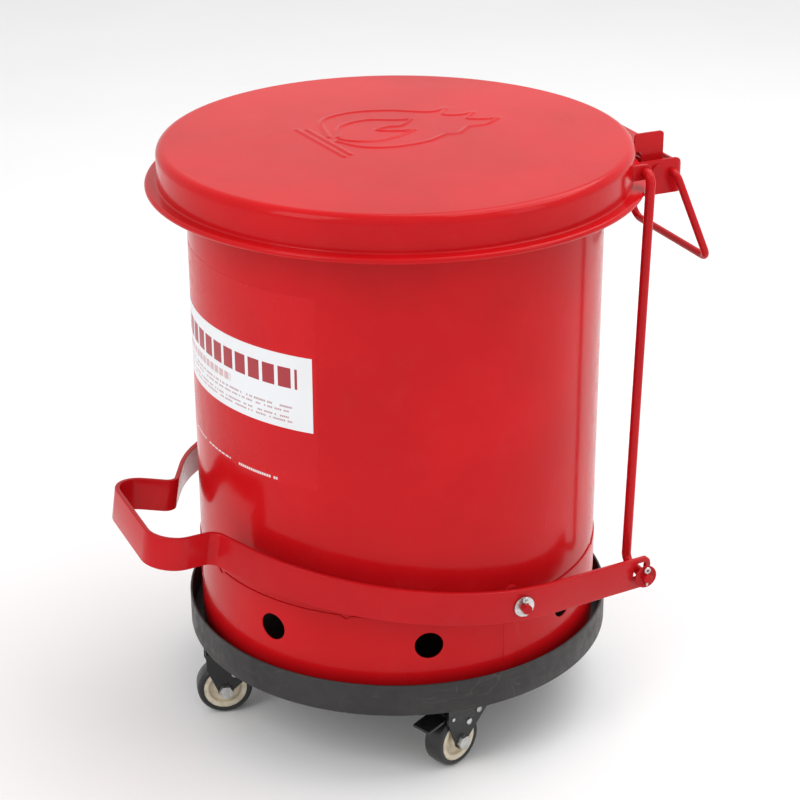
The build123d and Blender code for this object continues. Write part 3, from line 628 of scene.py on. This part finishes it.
def smooth_run(points, steps=8):
    """Points along a smooth curve through a stroke's own points."""
    if len(points) == 2:
        return points
    spots = [np.array(point) for point in points]
    ends = [2 * spots[0] - spots[1], *spots, 2 * spots[-1] - spots[-2]]
    run = []
    for before, here, after, beyond in zip(ends, ends[1:], ends[2:], ends[3:]):
        for step in range(steps):
            t = step / steps
            run.append(0.5 * (2 * here + (after - before) * t
                              + (2 * before - 5 * here + 4 * after - beyond) * t * t
                              + (3 * here - before - 3 * after + beyond) * t ** 3))
    return [*run, ends[-2]]


def lid():
    """The pressed lid: embossed top, rounded shoulder, skirt, flange and its rolled bead."""
    flange_low = lid_low + 2 * flange_bead - sheet
    bead_z = lid_low + flange_bead
    top = [(r, lid_top) for r in np.linspace(0.0, 0.135, 91)]
    top += [(r, lid_top) for r in np.linspace(0.14, lid_radius - lid_edge - 0.0005, 24)]
    shoulder = ring(lid_edge, (lid_radius - lid_edge, lid_top - lid_edge), 12, 90.0, -90.0)
    skirt = [(lid_radius, z) for z in np.linspace(lid_top - lid_edge - 0.002, flange_low + sheet + 0.003, 6)]
    root = ring(0.0015, (lid_radius + 0.0015, flange_low + sheet + 0.0015), 5, 180.0, 90.0)
    bead = ring(flange_bead, (flange_radius, bead_z), 20, 90.0, -275.0)
    under = [(lid_radius + 0.001, flange_low), (lid_radius - sheet, flange_low + 0.001)]
    inside = [(lid_radius - sheet, z) for z in np.linspace(flange_low + 0.003, lid_top - lid_edge, 5)]
    inner = ring(lid_edge - sheet, (lid_radius - lid_edge, lid_top - lid_edge), 8, 0.0, 90.0)
    below = [(r, lid_top - sheet) for r in np.linspace(lid_radius - lid_edge - 0.004, 0.0, 14)]
    profile = top + shoulder + skirt + root + bead + under + inside + inner + below
    mesh = turned("lid_pressed", profile, 512, closed=False, sharp=40.0)
    spots = np.zeros(len(mesh.vertices) * 3)
    mesh.vertices.foreach_get("co", spots)
    spots = spots.reshape(-1, 3)
    upper = (spots[:, 2] > lid_top - 1e-5) & (np.hypot(spots[:, 0], spots[:, 1]) < 0.134)
    spots[upper, 2] += emblem_height(spots[upper, 0], spots[upper, 1])
    mesh.vertices.foreach_set("co", spots.ravel())
    mesh.update()
    piece("lid_pressed", mesh, red_enamel, "lid", "red_enamel", "lid_cover")


lid()


# ---------------------------------------------------------------- pedal, lift rod and carrying handle
def pedal():
    """One flat bar bent on edge: toe loop, hoop round the can, and two straight arms behind."""
    thickness, height, tilt, slant = 0.005, 0.034, math.radians(8.5), math.radians(17.0)
    hoop, hoop_y, arm_end, corner = 0.2285, -pedal_pivot.y, 0.200 - pedal_pivot.y, 0.009
    toe_y, toe_x, neck = -0.2905 - pedal_pivot.y, 0.0815, Vector((0.060, -0.225 - pedal_pivot.y, 0))
    from_hoop = neck - Vector((0, hoop_y, 0))
    meeting = math.atan2(from_hoop.y, from_hoop.x) + math.acos(hoop / from_hoop.length)
    meeting_spot = Vector((hoop * math.cos(meeting), hoop_y + hoop * math.sin(meeting), 0))
    half = rounded([(0, toe_y, 0), (toe_x, toe_y, 0), neck, meeting_spot], (0, 0.0265, 0.012, 0), 10)
    half += [Vector((hoop * math.cos(turn), hoop_y + hoop * math.sin(turn), 0))
             for turn in np.linspace(meeting, slant, 60)[1:]]
    run = (arm_end - half[-1].y) / math.cos(slant)
    stations = [run * step / 6 for step in range(1, 6)] + [run - corner + corner * math.sin(t)
                                                           for t in np.linspace(0, math.pi / 2, 12)]
    half += [half[-1] + Vector((-math.sin(slant), math.cos(slant), 0)) * along for along in sorted(stations)]
    whole = [Vector((-p.x, p.y, 0)) for p in reversed(half[1:])] + half
    mesh = swept("pedal_bar", whole, bar_outline(thickness, height, 0.0011), up, 0.0011)
    for vert in mesh.vertices:
        past = min(vert.co.y - arm_end + corner, corner)
        if past > 0:
            limit = height / 2 - corner + math.sqrt(corner ** 2 - past ** 2)
            vert.co.z = max(-limit, min(limit, vert.co.z))
    place = Matrix.Translation(pedal_pivot) @ Matrix.Rotation(-tilt, 4, "X")
    mesh.transform(place)
    bar = piece("pedal_bar", mesh, red_fittings, "pedal", "red_fittings", "pedal_loop")
    slot_edge, lift, back = 0.00505, 0.0071, 0.0069
    foot = (0.188 - pedal_pivot.y) / math.cos(tilt)
    slot = rounded([(foot - back - slot_edge, -slot_edge, 0), (foot + slot_edge, -slot_edge, 0),
                    (foot + slot_edge, lift + slot_edge, 0), (foot - back - slot_edge, lift + slot_edge, 0)],
                   slot_edge * 0.98, 8, closed=True)
    slotted = surface("slot", np.array([[(x, p.x, p.y) for p in slot] for x in (0.15, 0.20)]),
                      wrap_columns=True, caps=True)
    slotted.transform(place)
    cut(bar, slotted)
    return bar


def rod():
    """The round lift rod, bent in through the lid's lug above and out through the pedal's slot below."""
    radius = 0.00475
    low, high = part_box("lift_rod")
    rod_x = 0.152
    top, foot = Vector((0, high.y - radius, high.z - radius)), Vector((0, low.y + radius, low.z + radius))
    corners = [top + along_x * low.x, top + along_x * rod_x, foot + along_x * rod_x, foot + along_x * high.x]
    path = rounded(corners, 0.009, 12)
    mesh = swept("lift_rod_bent", path, ring(radius, count=24), along_x.cross(top - foot), 0.0008)
    piece("lift_rod_bent", mesh, red_fittings, "rod", "red_fittings", "lift_rod")


def handle():
    """The bent wire handle, its tips upset inside the bracket's ears."""
    radius, swing, length, knee, half, tip = 0.004, math.radians(21.6), 0.099, 0.064, 0.072, 0.0453
    down = Vector((0, math.sin(swing), -math.cos(swing)))
    corners = [(-tip, 0), (-knee, 0), (-half, length), (half, length), (knee, 0), (tip, 0)]
    path = rounded([handle_pivot + along_x * x + down * y for x, y in corners], 0.009, 10)
    mesh = swept("handle_wire", path, ring(radius, count=24), along_x.cross(down), 0.0006)
    piece("handle_wire", mesh, red_fittings, "handle", "red_fittings", "carry_handle")
    head = rounded([(0, 0, 0), (0.0055, 0, 0), (0.0055, 0.0025, 0), (0, 0.0025, 0)], (0, 0.0007, 0.0007, 0), 4)
    for side, name in ((1, "handle_head_right"), (-1, "handle_head_left")):
        place = aligned(handle_pivot + along_x * (side * tip), (side, 0, 0))
        piece(name, turned(name, head, 24, closed=False, place=place), red_fittings, "handle", "red_fittings")


pedal()
rod()
handle()

# ---------------------------------------------------------------- small formed parts
for node, width in (("hinge_bracket", 0.0006), ("hinge_leaf", 0.0005), ("lift_lug", 0.0005)):
    eased(node, red_fittings, "red_fittings", width)
for node, width in (("hinge_pin", 0.0006), ("hinge_spacers", 0.0004), ("pedal_studs", 0.0007),
                    ("rod_cap", 0.0004), ("rod_washer", 0.0003)):
    eased(node, red_hardware, "red_hardware", width)
for node in ("pivot_washers", "pivot_cotters", "rod_cotter", "plate_bolts"):
    eased(node, zinc, "zinc", 0.0003)


def rivet(name, spot, axis, radius, height, finish, body, slot, *stands_for):
    """A domed rivet head standing on a face."""
    sunk, collar = 0.0004, 0.15
    profile = [(0.0, -sunk), (radius, -sunk), (radius, height * collar)]
    profile += [(radius * math.cos(t), height * (collar + (1 - collar) * math.sin(t)))
                for t in np.linspace(0.12, math.pi / 2, 8)]
    mesh = turned(name, profile, 28, closed=False, place=aligned(spot, axis))
    return piece(name, mesh, finish, body, slot, *stands_for)


def centres(node):
    """The middles of a node's separate solids."""
    work = bmesh.new()
    work.from_mesh(nodes[node].data)
    bmesh.ops.remove_doubles(work, verts=work.verts, dist=same_spot)
    loose, found = set(work.verts), []
    while loose:
        island, edge = set(), [loose.pop()]
        while edge:
            vert = edge.pop()
            island.add(vert)
            near = {link.other_vert(vert) for link in vert.link_edges} & loose
            loose -= near
            edge += near
        found.append(sum((vert.co for vert in island), Vector()) / len(island))
    work.free()
    return sorted(found, key=lambda spot: (round(spot.x, 4), round(spot.z, 4)))


plate_face = wall_radius + bracket_thickness
for number, spot in enumerate(centres("bracket_rivets"), 1):
    outward = Vector((spot.x, spot.y, 0)).normalized()
    stands_for = ("bracket_rivets",) if number == 1 else ()
    rivet(f"bracket_rivet_{number}", outward * plate_face + up * spot.z, outward, 0.0055, 0.0026,
          red_hardware, "can", "red_hardware", *stands_for)
for number, spot in enumerate(centres("leaf_rivets"), 1):
    stands_for = ("leaf_rivets",) if number == 1 else ()
    foot = Vector((spot.x, spot.y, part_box("leaf_rivets")[0].z))
    rivet(f"leaf_rivet_{number}", foot, up, 0.0022, 0.0012, red_hardware, "lid", "red_hardware", *stands_for)


# ---------------------------------------------------------------- dolly
def dolly():
    """The dolly's steel band and floor plate, with broken edges."""
    band = rounded([(ring_radius - ring_thickness, ring_low, 0), (ring_radius, ring_low, 0),
                    (ring_radius, ring_high, 0), (ring_radius - ring_thickness, ring_high, 0)],
                   (0.0004, 0.0008, 0.0011, 0.0011), 5, closed=True)
    piece("dolly_band", turned("dolly_band", band, 256), black_ring, "dolly", "black_enamel", "dolly_ring")
    plate_low, plate_high = (corner.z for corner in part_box("dolly_floor"))
    inner = ring_radius - ring_thickness
    plate = rounded([(0, plate_low, 0), (inner, plate_low, 0), (inner, plate_high, 0), (0, plate_high, 0)],
                    (0, 0.0008, 0.0004, 0), 4)
    piece("dolly_plate", turned("dolly_plate", plate, 128, closed=False), black_ring, "dolly", "black_enamel",
          "dolly_floor")


def caster(number):
    """One caster: moulded tyre and rim about its axle, and its pressed fork with silver rivets."""
    roll = joints[f"wheel_roll_{number}"]
    turn = joints[f"swivel_turn_{number}"]
    axle, side = Vector(roll["pos_m"]), Vector(roll["axis"])
    place = aligned(axle, side)
    tyre = rounded([(0.0225, -0.011, 0), (0.0262, -0.011, 0), (0.0284, -0.0083, 0), (0.029, 0, 0),
                    (0.0284, 0.0083, 0), (0.0262, 0.011, 0), (0.0225, 0.011, 0), (0.0222, 0, 0)],
                   (0.0004, 0.0012, 0.003, 0.02, 0.003, 0.0012, 0.0004, 0.0), 4, closed=True)
    piece(f"tyre_moulded_{number}", turned(f"tyre_moulded_{number}", tyre, 72, place=place), rubber,
          f"wheel_{number}", "tyre", f"tyre_{number}")
    face = [(0.0225, 0.0088), (0.0225, 0.0101), (0.0217, 0.0107), (0.0182, 0.0107), (0.0169, 0.0098),
            (0.0162, 0.0056), (0.0145, 0.0046), (0.0112, 0.0046), (0.0092, 0.0056), (0.0082, 0.0110),
            (0.0076, 0.0121), (0.0042, 0.0122)]
    hub = face + [(r, -z) for r, z in reversed(face)]
    piece(f"wheel_rim_{number}", turned(f"wheel_rim_{number}", hub, 72, place=place), cream,
          f"wheel_{number}", "wheel_plastic", f"wheel_hub_{number}")
    eased(f"caster_fork_{number}", black_fork, "black_caster", 0.0006)
    eased(f"caster_plate_{number}", black_fork, "black_caster", 0.0004)
    eased(f"axle_bolt_{number}", zinc, "zinc", 0.0005)
    swivel = Vector(turn["pos_m"])
    trail = (Vector((axle.x, axle.y, 0)) - Vector((swivel.x, swivel.y, 0))).normalized()
    for face_side, label in ((1, "a"), (-1, "b")):
        for spot_number, (out, height) in enumerate(((0.0, 0.056), (0.014, 0.048)), 1):
            spot = Vector((swivel.x, swivel.y, height)) + trail * out + side * (face_side * 0.0152)
            rivet(f"fork_rivet_{number}{label}_{spot_number}", spot, side * face_side, 0.0036, 0.0020, zinc,
                  f"swivel_{number}", "zinc")


dolly()
for number in range(1, 5):
    caster(number)
for number in (1, 3):
    eased(f"brake_pin_{number}", zinc, "zinc", 0.0003)
    eased(f"brake_lever_{number}", black_fork, "black_caster", 0.0007)


# ---------------------------------------------------------------- floor, light and camera
def stage_floor():
    """A pale sweep of paper, far wider than the view."""
    reach = 6.0
    mesh = surface("floor_sweep", np.array([[(x, y, 0.0) for x in np.linspace(-reach, reach, 5)]
                                            for y in np.linspace(-reach, reach, 5)]))
    floor = bpy.data.objects.new("floor_sweep", mesh)
    mesh.materials.append(floor_paper("floor_paper"))
    bpy.context.scene.collection.objects.link(floor)


def softbox(name, azimuth, elevation, distance, size, power):
    """A rectangular soft light aimed at the middle of the can."""
    lamp = bpy.data.lights.new(name, "AREA")
    lamp.shape = "RECTANGLE"
    lamp.size, lamp.size_y = size
    lamp.energy = power
    made = bpy.data.objects.new(name, lamp)
    bpy.context.scene.collection.objects.link(made)
    turn, rise = math.radians(azimuth), math.radians(elevation)
    out = Vector((math.sin(turn) * math.cos(rise), -math.cos(turn) * math.cos(rise), math.sin(rise)))
    aim = Vector((0, 0, 0.3))
    made.location = aim + out * distance
    made.rotation_euler = out.to_track_quat("Z", "Y").to_euler()


def surroundings(strength):
    """Even pale light from all round."""
    world = bpy.data.worlds.new("studio")
    world.use_nodes = True
    backdrop = world.node_tree.nodes["Background"]
    backdrop.inputs["Color"].default_value = (1.0, 1.0, 1.0, 1.0)
    backdrop.inputs["Strength"].default_value = strength
    bpy.context.scene.world = world


def camera(azimuth=66.0, distance=1.960, height=1.199, pitch=24.19, yaw=0.104, roll=-0.221, lens=94.9):
    """The camera at the photograph's own angle."""
    turn, down, aside, lean = (math.radians(angle) for angle in (azimuth, pitch, yaw, roll))
    heading = Vector((-math.sin(turn), math.cos(turn), 0))
    right = Vector((math.cos(turn), math.sin(turn), 0))
    level = heading * math.cos(aside) + right * math.sin(aside)
    right = right * math.cos(aside) - heading * math.sin(aside)
    ahead = level * math.cos(down) - up * math.sin(down)
    above = right.cross(ahead)
    leaning_right = right * math.cos(lean) + above * math.sin(lean)
    leaning_up = above * math.cos(lean) - right * math.sin(lean)
    lens_data = bpy.data.cameras.new("photo_camera")
    lens_data.lens = lens
    lens_data.sensor_width = 36.0
    made = bpy.data.objects.new("photo_camera", lens_data)
    turned_axes = Matrix((leaning_right, leaning_up, -ahead)).transposed().to_4x4()
    made.matrix_world = Matrix.Translation(up * height - heading * distance) @ turned_axes
    bpy.context.scene.collection.objects.link(made)
    bpy.context.scene.camera = made


stage_floor()
surroundings(0.80)
softbox("over_softbox", 180.0, 62.0, 2.6, (2.6, 2.0), 45.0)
softbox("key_softbox", 20.0, 38.0, 3.0, (1.2, 2.0), 24.0)
softbox("side_softbox", 128.0, 25.0, 3.0, (0.8, 2.0), 8.0)
camera()
bpy.context.scene.view_settings.view_transform = "Standard"
